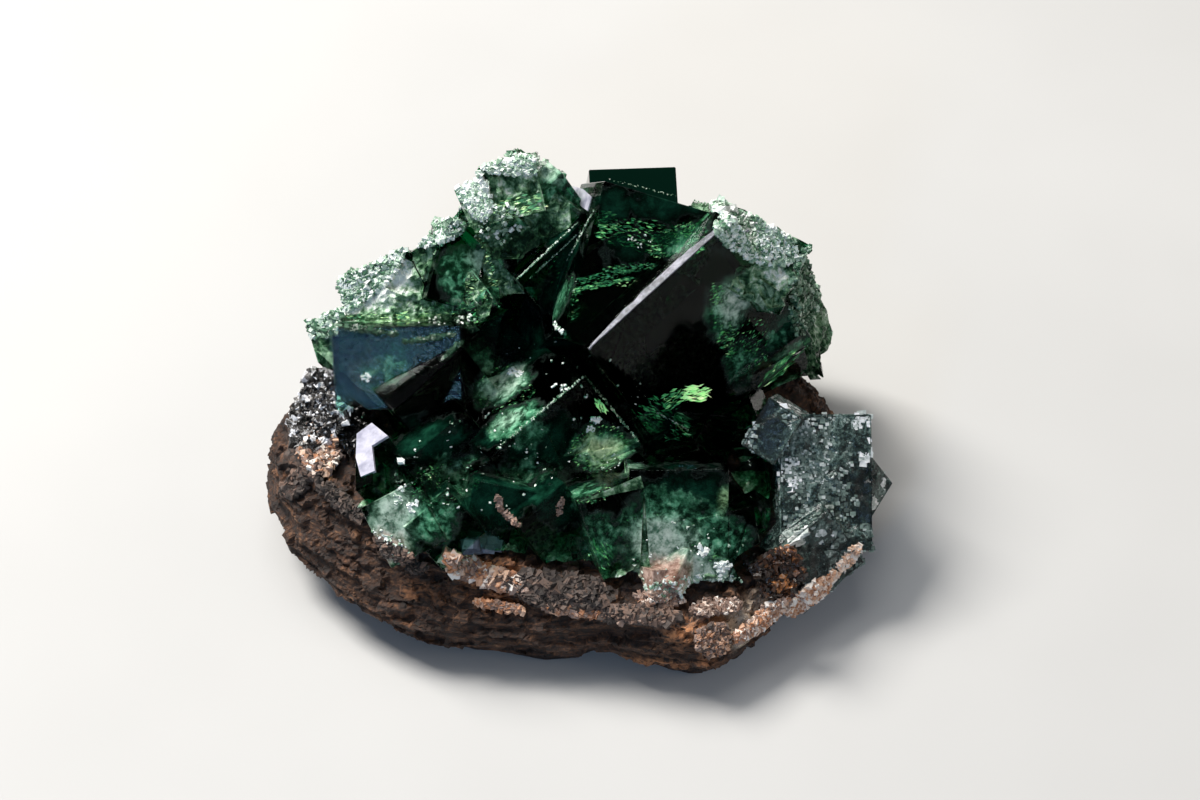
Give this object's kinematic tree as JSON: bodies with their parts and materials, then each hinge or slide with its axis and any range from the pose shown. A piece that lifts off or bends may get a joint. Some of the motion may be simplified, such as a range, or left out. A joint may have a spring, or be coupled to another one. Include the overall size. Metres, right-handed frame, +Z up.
{
  "type": "fluorite cluster",
  "caption": "Cluster of intergrown deep green fluorite cubes on brown layered matrix, with a grey corner crystal, a quartz druse and an ironstone block.",
  "frame": {"origin": "on the flat underside of the matrix, under the middle of the specimen", "axes": "+Z up, the front with the large crystal faces towards -Y, +X to the right seen from the front"},
  "size_m": [0.0627, 0.0486, 0.0341],
  "materials": {
    "green_fluorite": "polished",
    "grey_crystal": "satin",
    "ironstone": "satin",
    "druse": "gloss",
    "matrix": "matte"
  },
  "bodies": {
    "root": {"fluorite_cluster": "green_fluorite", "corner_crystal": "grey_crystal", "ironstone_block": "ironstone", "quartz_druse": "druse", "matrix": "matrix"}
  },
  "joints": []
}
